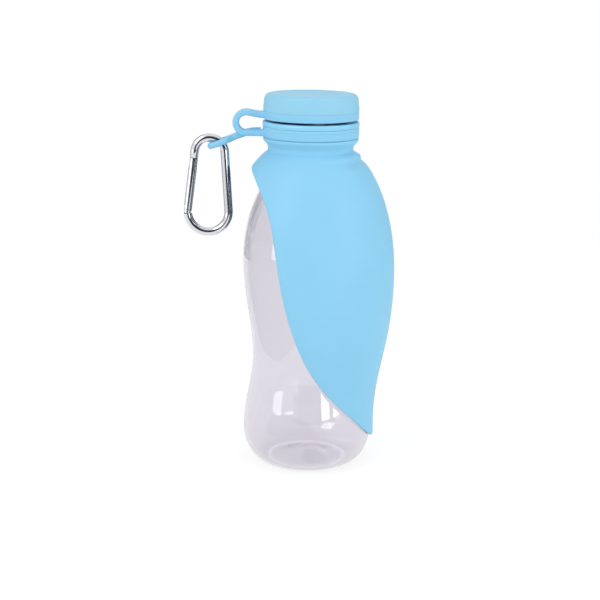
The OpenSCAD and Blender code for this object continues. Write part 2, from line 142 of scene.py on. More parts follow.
class TetherSizes(bpy.types.PropertyGroup):
    band_in: length("Band bore", 24.3, "Inner radius of the band round the collar")
    band_r: length("Band radius", 26.6, "Outer radius of the band")
    band_z: length("Band height", 186.55, "Height of the band's foot above the ground")
    band_h: length("Band width", 5.5, "Height of the band itself")
    ring_in: length("Ring bore", 24.45, "Inner radius of the ring in which the cap turns")
    ring_lip: length("Ring lip bore", 25.35, "Inner radius of the ring's foot")
    ring_r: length("Ring radius", 26.4, "Outer radius of that ring")
    ring_z: length("Ring height", 196.7, "Height of the ring's foot above the ground")
    ring_h: length("Ring width", 3.9, "Height of the ring itself")
    strap_w: length("Strap width", 6.4, "Width of the loop and of the hook strap")
    side: length("Strap offset", 3.7, "Distance of each strap from the middle plane")
    tab_x: length("Tab reach", 28.3, "Distance of the tabs' faces from the axis")
    loop_t: length("Loop thickness", 3.6, "Thickness of the loop")
    loop_low_z: length("Loop's low strand", 188.55, "Height of the loop's lower strand")
    loop_top_z: length("Loop's top strand", 198.6, "Height at which the loop leaves the ring")
    loop_r: length("Loop bend", 5.625, "Radius of the loop's bend")
    loop_x: length("Loop reach", 35.675, "Distance of the loop's bend centre from the axis")
    strap_t: length("Hook strap thickness", 4, "Thickness of the hook strap")
    eye_x: length("Eye reach", 50.2, "Distance of the eye's centre from the axis")
    eye_z: length("Eye height", 182.05, "Height of the eye's centre")
    eye_t: length("Eye thickness", 3.4, "Thickness of the strap at its eye")
    eye_w: length("Eye width", 11.1, "Width of the strap at its eye")
    slot_w: length("Slot width", 5.9, "Width of the eye's slot")
    slot_l: length("Slot length", 9, "Length of the eye's slot")


class CapSizes(bpy.types.PropertyGroup):
    skin_in: length("Skin bore", 24.3, "Inner radius of the soft cover")
    cap_r: length("Cap radius", 26.4, "Outer radius of the cap")
    foot_z: length("Skin foot", 200.85, "Height of the cover's lower edge")
    top_z: length("Cap top", 210.1, "Height of the cap's top")
    under_z: length("Skin underside", 208.1, "Height of the face that lies on the insert's plate")
    edge_r: length("Edge radius", 3, "Radius of the cap's rounded edge")
    dish: length("Dish depth", 0.5, "Depth of the shallow dish in the top")


class HookSizes(bpy.types.PropertyGroup):
    wire_d: length("Rod diameter", 4.8, "Diameter of the hook's rod")
    top_r: length("Top bend", 8.4, "Radius of the top bend, to the rod's centre")
    top_x: length("Top bend reach", 56.191, "Distance of the top bend's centre from the axis")
    top_z: length("Top bend height", 176.162, "Height of the top bend's centre")
    low_r: length("Low bend", 11.5, "Radius of the low bend, to the rod's centre")
    low_x: length("Low bend reach", 57.141, "Distance of the low bend's centre from the axis")
    low_z: length("Low bend height", 142.862, "Height of the low bend's centre")
    nose_l: length("Nose length", 4, "Straight length of the nose above the gate")
    tongue_t: length("Tongue thickness", 1.8, "Thickness of the tongue and of the heel")


class Finishes(bpy.types.PropertyGroup):
    silicone: paint("Silicone", "91D2F2", "Light blue of the moulded silicone")
    cap: paint("Cap", "97D3EE", "Blue of the cap's soft cover")
    collar: paint("Collar", "93D8FA", "Blue of the hard collar and insert")
    seal: paint("Seal", "E9EBEC", "Off-white of the seal")
    pet: paint("Clear bottle", "E2DEEA", "Tint of the clear bottle's walls")
    metal: paint("Hook", "DCDDE2", "Polished aluminium of the hook")
    steel: paint("Pins", "A9ABB0", "Plain steel of the pins and the spring")


class BottleSettings(bpy.types.PropertyGroup):
    bottle: bpy.props.PointerProperty(type=BottleSizes)
    thread: bpy.props.PointerProperty(type=ThreadSizes)
    leaf: bpy.props.PointerProperty(type=LeafSizes)
    tether: bpy.props.PointerProperty(type=TetherSizes)
    cap: bpy.props.PointerProperty(type=CapSizes)
    hook: bpy.props.PointerProperty(type=HookSizes)
    finish: bpy.props.PointerProperty(type=Finishes)


def sizes(context, name):
    """One group's sizes in millimetres."""
    group = getattr(context.scene.travel_bottle, name)
    return SimpleNamespace(**{p.identifier: getattr(group, p.identifier) / MM if p.type == "FLOAT"
                              else getattr(group, p.identifier)
                              for p in group.bl_rna.properties if p.type in {"FLOAT", "INT"}})


# Curves, in millimetres

def cubic(a, b, c, d, steps):
    """Points on a cubic curve between a and d."""
    a, b, c, d = Vector(a), Vector(b), Vector(c), Vector(d)
    return [a * (1 - t) ** 3 + b * 3 * t * (1 - t) ** 2 + c * 3 * t * t * (1 - t) + d * t ** 3
            for t in (i / steps for i in range(steps + 1))]


def arc(x, z, r, start, end, steps):
    """Points on an arc in a plane, with angles in degrees."""
    return [Vector((x + r * math.cos(math.radians(start + (end - start) * i / steps)),
                    z + r * math.sin(math.radians(start + (end - start) * i / steps))))
            for i in range(steps + 1)]


def wave(z0, r0, z1, r1, steps):
    """A soft wave from one radius to the next, without its first point."""
    mid, swing = (r0 + r1) / 2, (r0 - r1) / 2
    return [Vector((mid + swing * math.cos(math.pi * i / steps), z0 + (z1 - z0) * i / steps))
            for i in range(1, steps + 1)]


def circle(r, z, count):
    """A level ring of points about the bottle's axis."""
    return [(r * math.cos(2 * math.pi * j / count), r * math.sin(2 * math.pi * j / count), z)
            for j in range(count)]


def along(line, step):
    """The same line with its points a step apart."""
    marks, total = [0.0], 0.0
    for a, b in zip(line, line[1:]):
        total += (b - a).length
        marks.append(total)
    count = max(2, round(total / step))
    out, i = [], 0
    for k in range(count + 1):
        s = total * k / count
        while i < len(line) - 2 and marks[i + 1] < s:
            i += 1
        t = (s - marks[i]) / max(marks[i + 1] - marks[i], 1e-9)
        out.append(line[i].lerp(line[i + 1], t))
    return out


def normals(line):
    """The left-hand normal at each point of an open line."""
    out = []
    for i in range(len(line)):
        u = (line[min(i + 1, len(line) - 1)] - line[max(i - 1, 0)]).normalized()
        out.append(Vector((-u.y, u.x)))
    return out


# Modelling

def alone(piece=None):
    """Leaves edit mode and selects nothing but the piece."""
    if bpy.context.object and bpy.context.object.mode != "OBJECT":
        bpy.ops.object.mode_set(mode="OBJECT")
    bpy.ops.object.select_all(action="DESELECT")
    if piece:
        piece.select_set(True)
        bpy.context.view_layer.objects.active = piece


def pick(piece, test, kind="VERT"):
    """Enters edit mode on a piece with the vertices, edges or faces that pass the test selected."""
    alone(piece)
    bpy.ops.object.mode_set(mode="EDIT")
    bpy.ops.mesh.select_mode(type=kind)
    bpy.ops.mesh.select_all(action="DESELECT")
    bpy.ops.object.mode_set(mode="OBJECT")
    part = {"VERT": piece.data.vertices, "EDGE": piece.data.edges, "FACE": piece.data.polygons}[kind]
    for item in part:
        item.select = test(item)
    bpy.ops.object.mode_set(mode="EDIT")


def done(piece, name, angle=None):
    """Puts a piece's place into its mesh, names it and shades it smooth."""
    alone(piece)
    bpy.ops.object.transform_apply(location=True, rotation=True, scale=True)
    piece.name = piece.data.name = name
    if angle is None:
        bpy.ops.object.shade_smooth()
    else:
        bpy.ops.object.shade_smooth_by_angle(angle=math.radians(angle))
    return piece


def tidy(piece, merge=0.02):
    """Merges doubles and turns all faces outwards."""
    pick(piece, lambda v: True)
    bpy.ops.mesh.remove_doubles(threshold=merge * MM)
    bpy.ops.mesh.select_all(action="SELECT")
    bpy.ops.mesh.normals_make_consistent(inside=False)
    alone(piece)


def skinned(name, rings, closed=False):
    """Extrudes a ring of points through all the given rings, which are in millimetres. The ends
    are filled, or joined to each other where the rings close on themselves."""
    count, step = len(rings[0]), 0.001
    alone()
    bpy.ops.mesh.primitive_circle_add(vertices=count, radius=0.01, location=(0, 0, 0))
    piece = bpy.context.object
    bpy.ops.object.mode_set(mode="EDIT")
    for _ in rings[1:]:
        bpy.ops.mesh.extrude_region_move(TRANSFORM_OT_translate={"value": (0, 0, step)})
    if closed:
        bpy.ops.object.mode_set(mode="OBJECT")
        top = (len(rings) - 1) * step
        pick(piece, lambda e: any(all(abs(piece.data.vertices[v].co.z - end) < step / 4
                                      for v in e.vertices) for end in (0.0, top)), "EDGE")
        bpy.ops.mesh.bridge_edge_loops()
    bpy.ops.object.mode_set(mode="OBJECT")
    turn = 2 * math.pi / count
    for v in piece.data.vertices:
        ring = rings[round(v.co.z / step)]
        v.co = Vector(ring[round(math.atan2(v.co.y, v.co.x) / turn) % count]) * MM
    if not closed:
        pick(piece, lambda v: True)
        bpy.ops.mesh.fill_holes(sides=0)
    tidy(piece)
    return done(piece, name)


def turned(name, line, sides, closed=True):
    """Turns a line of radius and height about the bottle's axis. A radius of 0 is a pole."""
    return skinned(name, [circle(max(r, POLE_R), z, sides) for r, z in line], closed)


def modify(piece, kind, **settings):
    """Adds a modifier and applies it."""
    alone(piece)
    modifier = piece.modifiers.new(kind.title(), kind)
    for key, value in settings.items():
        setattr(modifier, key, value)
    bpy.ops.object.modifier_apply(modifier=modifier.name)


def joined(piece, other, operation="UNION"):
    """Unites two closed pieces, or cuts the second out of the first."""
    modify(piece, "BOOLEAN", operation=operation, solver="EXACT", object=other)
    alone(other)
    bpy.ops.object.delete()
    if not piece.data.polygons:
        raise RuntimeError(piece.name + " has no faces left")


def grouped(piece, *others):
    """Joins separate shells into one piece."""
    alone(piece)
    for other in others:
        other.select_set(True)
    bpy.ops.object.join()


def finish(piece, material, slot, body=None, nodes=()):
    """Gives a piece its material, the solids it stands for, and its body. The slot is not used."""
    piece.data.materials.clear()
    piece.data.materials.append(bpy.data.materials[material])
    if nodes:
        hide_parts(*nodes)
    if body:
        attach(piece, body)


# Materials

def add(tree, kind, sockets=None, **settings):
    """Adds one node with its settings. Sockets are inputs by name or number, each with a value or
    with the output that feeds it."""
    node = tree.nodes.new(kind)
    for key, value in settings.items():
        setattr(node, key, value)
    for key, value in (sockets or {}).items():
        if isinstance(value, bpy.types.NodeSocket):
            tree.links.new(value, node.inputs[key])
        else:
            node.inputs[key].default_value = value
    return node


def blank(name):
    """An empty node material, its tree and the place of every point in millimetres."""
    material = bpy.data.materials.new(name)
    material.use_nodes = True
    tree = material.node_tree
    tree.nodes.clear()
    place = add(tree, "ShaderNodeTexCoord").outputs["Object"]
    scaled = add(tree, "ShaderNodeVectorMath", {0: place, 3: 1 / MM}, operation="SCALE").outputs[0]
    return material, tree, scaled


def shaded(material, tree, shader, volume=None):
    """Ends a material with its surface, and its volume if it has one."""
    sockets = {"Surface": shader.outputs[0]}
    if volume:
        sockets["Volume"] = volume.outputs[0]
    add(tree, "ShaderNodeOutputMaterial", sockets)
    return material


def noise(tree, place, size, detail):
    """Soft noise with features of a given size in millimetres."""
    return add(tree, "ShaderNodeTexNoise", {"Vector": place, "Scale": 1 / size, "Detail": detail}).outputs["Fac"]


def between(tree, value, low, high):
    """A value from 0 to 1, spread from low to high."""
    return add(tree, "ShaderNodeMapRange", {"Value": value, "To Min": low, "To Max": high}).outputs["Result"]


def relief(tree, height, strength, depth):
    """The normal of a surface with a relief of a given depth in millimetres."""
    return add(tree, "ShaderNodeBump", {
        "Height": height, "Strength": strength, "Distance": depth * MM}).outputs["Normal"]


def maths(tree, operation, *values):
    """The result of one operation on values or outputs."""
    return add(tree, "ShaderNodeMath", dict(enumerate(values)), operation=operation).outputs[0]


def mixed(tree, share, first, second):
    """The second of two shaders by its share, and the first by the rest."""
    return add(tree, "ShaderNodeMixShader", {0: share, 1: first.outputs[0], 2: second.outputs[0]})


def mottled(tree, place, base, size, share):
    """A colour that drifts a little darker in soft patches of a given size in millimetres."""
    darker = tuple(c * (1 - share) for c in base[:3]) + (1.0,)
    return add(tree, "ShaderNodeMix", {"Factor": noise(tree, place, size, 2.0), "A": base, "B": darker},
               data_type="RGBA").outputs["Result"]


def moulded_silicone(name, base):
    # Moulded silicone from a sand-blasted mould: soft, matte and a little waxy. The real grain is
    # near 0.05 mm and is drawn 0.4 mm wide, as fine as the picture can show.
    material, tree, place = blank(name)
    grain = noise(tree, place, 0.4, 2.0)
    shader = add(tree, "ShaderNodeBsdfPrincipled", {
        "Base Color": mottled(tree, place, base, 22, 0.05), "Roughness": 0.5, "IOR": 1.41,
        "Specular IOR Level": 0.4, "Subsurface Weight": 0.12, "Subsurface Scale": 1.2 * MM,
        "Subsurface Radius": (0.6, 0.9, 1.0), "Normal": relief(tree, grain, 0.12, 0.05)})
    return shaded(material, tree, shader)


def satin_polypropylene(name, base):
    # Injection-moulded polypropylene: satin, lets light in some 3 mm deep, with faint flow marks
    # 3 mm apart.
    material, tree, place = blank(name)
    flow = noise(tree, place, 3, 1.0)
    shader = add(tree, "ShaderNodeBsdfPrincipled", {
        "Base Color": mottled(tree, place, base, 9, 0.06), "Roughness": 0.36, "IOR": 1.49,
        "Subsurface Weight": 0.3, "Subsurface Scale": 3 * MM,
        "Subsurface Radius": (0.3, 0.8, 1.0), "Normal": relief(tree, flow, 0.08, 0.05)})
    return shaded(material, tree, shader)


def clear_blown_pet(name, tint):
    # Clear PET blown in a polished mould: glossy, with a faint lavender-grey tint that gathers
    # where the wall is seen edge on, and a wall that waves softly over some 16 mm.
    material, tree, place = blank(name)
    waves = noise(tree, place, 16, 0.0)
    shader = add(tree, "ShaderNodeBsdfPrincipled", {
        "Base Color": (0.85, 0.832, 0.874, 1.0), "Roughness": 0.02, "IOR": 1.57,
        "Transmission Weight": 1.0, "Normal": relief(tree, waves, 0.25, 0.12)})
    volume = add(tree, "ShaderNodeVolumeAbsorption", {"Color": tint, "Density": 95.0})
    return shaded(material, tree, shader, volume)


def polished_aluminium(name, base):
    # Aluminium rod, tumbled and polished: a clear mirror with a fine haze, and draw lines along
    # the rod that are drawn 0.5 mm apart, because the real ones are too fine to show.
    material, tree, place = blank(name)
    drawn = add(tree, "ShaderNodeMapping", {"Vector": place, "Scale": (1.0, 1.0, 0.12)})
    lines = noise(tree, drawn.outputs[0], 0.5, 1.0)
    shader = add(tree, "ShaderNodeBsdfPrincipled", {
        "Base Color": mottled(tree, place, base, 5, 0.05), "Metallic": 1.0,
        "Roughness": between(tree, lines, 0.09, 0.13), "Normal": relief(tree, lines, 0.04, 0.01)})
    return shaded(material, tree, shader)


def plain_steel(name, base):
    # Cut and tumbled steel wire: duller than the rod, with scuffs about 0.8 mm across.
    material, tree, place = blank(name)
    scuffs = noise(tree, place, 0.8, 3.0)
    shader = add(tree, "ShaderNodeBsdfPrincipled", {
        "Base Color": mottled(tree, place, base, 2, 0.15), "Metallic": 1.0,
        "Roughness": between(tree, scuffs, 0.25, 0.45)})
    return shaded(material, tree, shader)


# Operators

class MakeMaterials(bpy.types.Operator):
    """Makes every finish and puts the fitting one on each carried-over solid"""
    bl_idname = "bottle.materials"
    bl_label = "Materials"

    def execute(self, context):
        f = context.scene.travel_bottle.finish
        moulded_silicone("moulded silicone", tuple(f.silicone))
        moulded_silicone("soft silicone cover", tuple(f.cap))
        moulded_silicone("pale seal silicone", tuple(f.seal))
        satin_polypropylene("satin polypropylene", tuple(f.collar))
        clear_blown_pet("clear blown PET", tuple(f.pet))
        polished_aluminium("polished aluminium rod", tuple(f.metal))
        plain_steel("plain steel wire", tuple(f.steel))
        for material, nodes in {
                "clear blown PET": ["bottle"],
                "moulded silicone": ["leaf_sleeve", "leaf_petal", "tether_band", "cap_loop", "swivel_ring",
                                     "hook_strap"],
                "satin polypropylene": ["collar", "cap_insert"],
                "soft silicone cover": ["cap_skin"],
                "pale seal silicone": ["cap_seal"],
                "polished aluminium rod": ["hook_frame", "hook_gate"],
                "plain steel wire": ["gate_rivet", "gate_latch_pin", "gate_spring", "gate_plunger"],
        }.items():
            for node in nodes:
                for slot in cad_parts[node].material_slots:
                    slot.material = bpy.data.materials[material]
        return {"FINISHED"}


class MakeBottle(bpy.types.Operator):
    """Turns the clear bottle with its walls, foot, ledge and mouth, and adds the thread"""
    bl_idname = "bottle.bottle"
    bl_label = "Bottle"

    def execute(self, context):
        s, t = sizes(context, "bottle"), sizes(context, "thread")
        end = math.acos(s.neck_r / s.belly_r)
        hollow = [Vector(((s.foot_r - s.foot_w) * i / 20,
                          s.push_up * (0.5 + 0.5 * math.cos(math.pi * i / 20)))) for i in range(20)]
        foot = [Vector((s.foot_r - s.foot_w + 0.5, 0)), Vector((s.foot_r - 0.4, 0))]
        body = [Vector((s.foot_r + (s.base_r - s.foot_r) * math.sin(a), s.base_h * (1 - math.cos(a))))
                for a in (math.pi / 2 * (i + 0.6) / 18 for i in range(18))]
        body += [Vector((s.base_r, s.base_h))]
        body += wave(s.base_h, s.base_r, s.waist_z, s.waist_r, 30)
        body += wave(s.waist_z, s.waist_r, s.belly_z, s.belly_r, 36)
        dome = [Vector((s.belly_r * math.cos(end * k / 30), s.belly_z + s.dome_h * math.sin(end * k / 30)))
                for k in range(1, 31)]
        neck_z = dome[-1].y
        body += dome[:-2] + cubic(dome[-3], dome[-3].lerp(dome[-1], 1.2), (s.neck_r, neck_z + 1),
                                  (s.neck_r, neck_z + 3), 6)[1:]
        inner = [p + n * s.wall for p, n in zip(body, normals(body))]
        bore = s.neck_r - s.neck_wall
        inner = [p for p in inner if p.x > bore + 0.3 and p.y > s.wall and p.y < neck_z + 1]
        under = s.ledge_z - s.ledge_t
        ledge = s.neck_r + LEDGE_REACH
        neck = [(s.neck_r, under - 0.9), (s.neck_r + 0.3, under - 0.35), (ledge - 0.3, under),
                (ledge, under + 0.3), (ledge, s.ledge_z - 0.3), (ledge - 0.3, s.ledge_z), (s.neck_r, s.ledge_z),
                (s.neck_r, s.mouth_z - 0.6), (s.neck_r - 0.2, s.mouth_z - 0.15), (s.neck_r - 0.5, s.mouth_z),
                (bore + 0.4, s.mouth_z), (bore + 0.1, s.mouth_z - 0.1), (bore, s.mouth_z - 0.4),
                (bore, inner[-1].y + 2.5)]
        lining = [p + Vector((0, s.wall)) for p in reversed(hollow)]
        line = hollow + foot + body + neck + list(reversed(inner)) + lining
        piece = turned("bottle_shell", line, 160, closed=False)

        lead, low, high = t.step * t.starts, s.ledge_z + THREAD_FOOT, s.mouth_z - THREAD_HEAD
        rise = high - low - t.width
        steps = round(36 * rise / lead)
        for start in range(t.starts):
            rings = []
            for i in range(steps + 1):
                k = i / steps
                z = low + t.width / 2 + rise * k
                a = 2 * math.pi * ((z - s.ledge_z) / lead + start / t.starts)
                up = t.height * min(1, 0.15 + 5 * k, 0.15 + 5 * (1 - k))
                section = [(-0.3, -t.width / 2 - 0.1), (up - 0.15, -t.crest / 2 - 0.12), (up, -t.crest / 2),
                           (up, -t.crest / 6), (up, t.crest / 6), (up, t.crest / 2),
                           (up - 0.15, t.crest / 2 + 0.12), (-0.3, t.width / 2 + 0.1)]
                rings.append([((s.neck_r + r) * math.cos(a), (s.neck_r + r) * math.sin(a), z + h)
                              for r, h in section])
            joined(piece, skinned("ridge", rings))
        done(piece, "bottle_shell", 40)
        finish(piece, "clear blown PET", "clear_pet", "body", ["bottle"])
        return {"FINISHED"}


class MakeLeaf(bpy.types.Operator):
    """Draws the leaf bowl as one shell from the clamped flange down to the tip"""
    bl_idname = "bottle.leaf"
    bl_label = "Leaf bowl"

    def execute(self, context):
        s, b = sizes(context, "leaf"), sizes(context, "bottle")
        columns, rows = 256, 72
        line = cubic((s.sleeve_r, s.sleeve_foot_z), (s.sleeve_r + 12.5, s.sleeve_foot_z - 8.2),
                     (s.mid_r, s.mid_z + 34.5), (s.mid_r, s.mid_z), 120)
        line += cubic((s.mid_r, s.mid_z), (s.mid_r, s.mid_z - 42.8), (s.tip_r - 0.9, b.base_h + 35.7),
                      (s.tip_r, b.base_h + 1), 120)[1:]
        line += [Vector((s.tip_r, s.tip_z - 4))]
        line = along(line, 0.5)
        outward = [-n for n in normals(line)]
        outward = [n if n.x > 0 else -n for n in outward]

        def at_height(z):
            """The place on the line at a height, as a share of its points."""
            for i in range(len(line) - 1):
                if line[i].y >= z >= line[i + 1].y:
                    return i + (line[i].y - z) / (line[i].y - line[i + 1].y)
            return 0.0 if z > line[0].y else len(line) - 1.0

        def point(i, turn):
            """A point of the outer face and its normal there."""
            k = min(int(i), len(line) - 2)
            p, n = line[k].lerp(line[k + 1], i - k), outward[k].lerp(outward[k + 1], i - k).normalized()
            place = Vector((p.x * math.cos(turn), p.x * math.sin(turn), p.y))
            normal = Vector((n.x * math.cos(turn), n.x * math.sin(turn), n.y))
            side = (math.degrees(turn) + 180) % 360 - 180
            # A crease runs round the right shoulder, with a ridge above it and a dent below
            high = p.y - s.sleeve_foot_z + CREASE_DROP
            fade = ((side - CREASE_TURN) / CREASE_SPAN) ** 2 + (high / CREASE_REACH) ** 2
            fold = math.tanh(high / CREASE_SHARP) * math.exp(-fade)
            return place + normal * (s.fold * fold), normal

        # The rim, drawn from the side and wrapped on to the face, from the tip up to the back
        half_way = (-14.6, s.mid_z - 2)
        rim = cubic((s.tip_r, s.tip_z), (s.tip_r - 18.3, s.tip_z + 31.1), (-1.5, s.mid_z - 61.8), half_way, 150)
        rim += cubic(half_way, (-20.6, s.mid_z + 25.2), (-17.3, s.notch_z - 22.6), (-33.2, s.notch_z), 150)[1:]
        wrapped = []
        for p in rim:
            i = at_height(p.y)
            r = line[min(int(i), len(line) - 2)].lerp(line[min(int(i) + 1, len(line) - 1)], i - int(i)).x
            if p.x > -r:
                wrapped.append(Vector((i, math.acos(min(1, p.x / r)), 0)))
            else:
                break
        wrapped.append(Vector((wrapped[-1].x - 0.2, math.pi, 0)))
        marks = [0.0]
        for a, c in zip(wrapped, wrapped[1:]):
            marks.append(marks[-1] + (point(c.x, c.y)[0] - point(a.x, a.y)[0]).length)
        half = columns // 2
        ends = []
        k = 0
        for j in range(half + 1):
            d = marks[-1] * j / half
            while k < len(wrapped) - 2 and marks[k + 1] < d:
                k += 1
            ends.append(wrapped[k].lerp(wrapped[k + 1], (d - marks[k]) / max(marks[k + 1] - marks[k], 1e-9)))
        ends += [Vector((ends[columns - j].x, 2 * math.pi - ends[columns - j].y, 0))
                 for j in range(half + 1, columns)]

        outer, inner, lip = [], [], []
        for j in range(columns):
            i_end, turn_end = ends[j].x, ends[j].y
            turn_neck = 2 * math.pi * j / columns
            edge, n = point(i_end, turn_end)
            before, after = ends[(j - 1) % columns], ends[(j + 1) % columns]
            way = (point(after.x, after.y)[0] - point(before.x, before.y)[0]).normalized()
            off = way.cross(n).normalized()
            down, _ = point(i_end * 0.97, turn_neck + (turn_end - turn_neck) * 0.97)
            if off.dot(edge - down) < 0:
                off = -off
            heart = edge - n * (s.wall / 2) - off * (s.wall / 2)
            lip.append([heart + (n * math.cos(a) + off * math.sin(a)) * (s.wall / 2)
                        for a in (math.pi * m / 8 for m in range(9))])
            out_column, in_column = [], []
            for m in range(rows):
                u = (m / rows) ** ROW_EASE
                p, normal = point(i_end * u, turn_neck + (turn_end - turn_neck) * u)
                if m > rows - 4:
                    # The last rows lean towards the rounded edge
                    share = (m - rows + 4) / 4
                    p = p - off * (s.wall / 2) * share * share
                out_column.append(p)
                in_column.append(p - normal * s.wall)
            outer.append(out_column)
            inner.append(in_column)

        top, ledge_z = b.ledge_z + s.flange_t, b.ledge_z + 0.05
        reach, bore = s.sleeve_r + s.flange_out, s.sleeve_r - s.wall
        head = [(s.flange_in, top - 0.3), (s.flange_in + 0.3, top), (reach - 0.6, top),
                (reach - 0.15, top - 0.15), (reach, top - 0.6), (reach, top - 1.3), (reach - 0.25, top - 1.8),
                (s.sleeve_r + 0.35, b.ledge_z - 0.1), (s.sleeve_r + 0.05, b.ledge_z - 0.7),
                (s.sleeve_r, b.ledge_z - 1.6), (s.sleeve_r, s.sleeve_foot_z + 0.8)]
        foot = [(bore, s.sleeve_foot_z + 0.8), (bore, ledge_z - 0.1), (bore, ledge_z),
                (s.flange_in + 0.3, ledge_z), (s.flange_in, ledge_z + 0.3)]
        rings = [circle(r, z, columns) for r, z in head]
        rings += [[outer[j][m] for j in range(columns)] for m in range(rows)]
        rings += [[lip[j][m] for j in range(columns)] for m in range(9)]
        rings += [[inner[j][m] for j in range(columns)] for m in reversed(range(rows))]
        rings += [circle(r, z, columns) for r, z in foot]
        piece = skinned("leaf_bowl", rings, closed=True)
        done(piece, "leaf_bowl", 50)
        finish(piece, "moulded silicone", "silicone", None, ["leaf_sleeve", "leaf_petal"])
        way = Vector((0.5, 0, -0.866))
        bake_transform(piece)
        return {"FINISHED"}


def flat_oval(p, u, across, half_w, half_t, count=24):
    """A ring of rounded section about a point of a line in the plane of x and z, which runs along u."""
    n = Vector((-u.y, u.x))
    ease = 0.62
    out = []
    for i in range(count):
        a = 2 * math.pi * i / count
        c, d = math.cos(a), math.sin(a)
        w = half_w * math.copysign(abs(c) ** (ease * min(1, half_t / half_w) + 0.05), c)
        h = half_t * math.copysign(abs(d) ** ease, d)
        out.append((p.x + n.x * h, across + w, p.y + n.y * h))
    return out


def headings(line, first, last):
    """The direction of an open line at each point, with given ones at its two ends."""
    return [first] + [(line[i + 1] - line[i - 1]).normalized() for i in range(1, len(line) - 1)] + [last]


class MakeTether(bpy.types.Operator):
    """Models the band round the collar, the loop and the cap's ring as one soft moulding"""
    bl_idname = "bottle.tether"
    bl_label = "Tether"

    def execute(self, context):
        s = sizes(context, "tether")
        low, high, r, rr = s.band_z - 0.3, s.band_z + s.band_h + 0.15, s.band_in, s.band_r
        piece = turned("tether", [
            (r, low), (rr - 0.9, low), (rr - 0.5, low + 0.12), (rr - 0.12, low + 0.5), (rr, low + 1.0),
            (rr, high - 1.85), (rr - 0.14, high - 1.7), (rr, high - 1.55), (rr, high - 0.25),
            (rr - 0.08, high - 0.08), (rr - 0.25, high), (r, high)], 192)
        low, high, r, rr = s.ring_z - 0.4, s.ring_z + s.ring_h, s.ring_in, s.ring_r
        ring = turned("ring", [
            (s.ring_lip, low), (rr - 0.5, low), (rr - 0.15, low + 0.15), (rr, low + 0.5), (rr, high - 0.03),
            (rr - 0.03, high), (r, high), (r, low + 1.55), (s.ring_lip, low + 1.55)], 192)
        # The loop leaves the ring, bends back and ends in the band. Its roots widen into both.
        x, z = -s.loop_x, s.loop_low_z + s.loop_r
        line = cubic((-s.band_in - 0.9, s.loop_top_z), (-s.tab_x - 3, s.loop_top_z), (x + 3, z + s.loop_r),
                     (x, z + s.loop_r), 10)
        line += arc(x, z, s.loop_r, 90, 270, 22)[1:]
        line += [Vector((x + (-s.band_in - 0.9 - x) * k / 8, s.loop_low_z)) for k in range(1, 9)]
        ways = headings(line, Vector((-1, 0)), Vector((1, 0)))
        rings = []
        for p, u in zip(line, ways):
            root = max(0, (p.x + s.tab_x + 0.8) / 3) ** 2
            rings.append(flat_oval(p, u, -s.side, s.strap_w / 2 + 0.5 * root, s.loop_t / 2 + 0.12 * root))
        loop = skinned("loop", rings)
        joined(piece, loop)
        joined(piece, ring)
        tidy(piece)
        done(piece, "tether", 40)
        finish(piece, "moulded silicone", "silicone", None, ["tether_band", "cap_loop", "swivel_ring"])
        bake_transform(piece)
        return {"FINISHED"}


class MakeHookStrap(bpy.types.Operator):
    """Models the strap that carries the snap hook, with its slotted eye"""
    bl_idname = "bottle.hook_strap"
    bl_label = "Hook strap"

    def execute(self, context):
        s = sizes(context, "tether")
        lean = math.radians(20)
        tip_x = -s.eye_x - s.slot_l / 2 - (s.eye_w - s.slot_w) / 2
        end_r = s.eye_w / 2
        root = -s.tab_x + 0.4
        line = [Vector((root - k * 0.5, s.loop_low_z)) for k in range(5)]
        line += cubic((root - 2.5, s.loop_low_z), (root - 9, s.loop_low_z),
                      (-s.eye_x + 6, s.eye_z + 6 * math.tan(lean)), (-s.eye_x, s.eye_z), 30)[1:]
        out = Vector((-math.cos(lean), -math.sin(lean)))
        run = (-s.eye_x - tip_x) / math.cos(lean)
        line += [line[-1] + out * run * math.sin(math.pi / 2 * k / 14) for k in range(1, 15)]
        ways = headings(line, Vector((-1, 0)), out)
        rings = []
        first = tip_x + 2 * end_r + s.slot_l - s.slot_w
        for p, u in zip(line, ways):
            wide = s.strap_w / 2
            if p.x < first:
                mid_a, mid_b = first - end_r, tip_x + end_r
                d = max(0, p.x - mid_a, mid_b - p.x)
                eye = math.sqrt(max(0.0, end_r ** 2 - d * d))
                # A soft fillet where the strap widens into the eye
                wide = (wide ** 6 + eye ** 6) ** (1 / 6) if p.x > mid_a else eye
            share = min(1, max(0, (root - p.x) / (root + s.eye_x)))
            thick = s.strap_t + (s.eye_t - s.strap_t) * share
            edge = min(1, max(0.0, (p.x - tip_x) / 1.6))
            thick *= math.sqrt(max(0.0, 1 - (1 - edge) ** 2)) if edge < 1 else 1
            rings.append(flat_oval(p, u, s.side, max(wide, 0.3), max(thick / 2, 0.15)))
        piece = skinned("hook_strap_soft", rings)
        # The slot is cut square to the eye and its edges are eased
        cutter = []
        n = Vector((-out.y, out.x))
        for h in (-6, 6):
            ring = []
            for k in range(48):
                a = 2 * math.pi * k / 48
                straight = math.copysign((s.slot_l - s.slot_w) / 2, math.cos(a))
                along_slot = math.cos(a) * s.slot_w / 2 + straight
                p = Vector((-s.eye_x, s.eye_z)) + out * along_slot + n * h
                ring.append((p.x, s.side + math.sin(a) * s.slot_w / 2, p.y))
            cutter.append(ring)
        joined(piece, skinned("slot", cutter), "DIFFERENCE")
        modify(piece, "BEVEL", width=0.45 * MM, segments=3, limit_method="ANGLE",
               angle_limit=math.radians(48))
        tidy(piece, 0.005)
        done(piece, "hook_strap_soft", 45)
        finish(piece, "moulded silicone", "silicone", None, ["hook_strap"])
        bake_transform(piece)
        return {"FINISHED"}


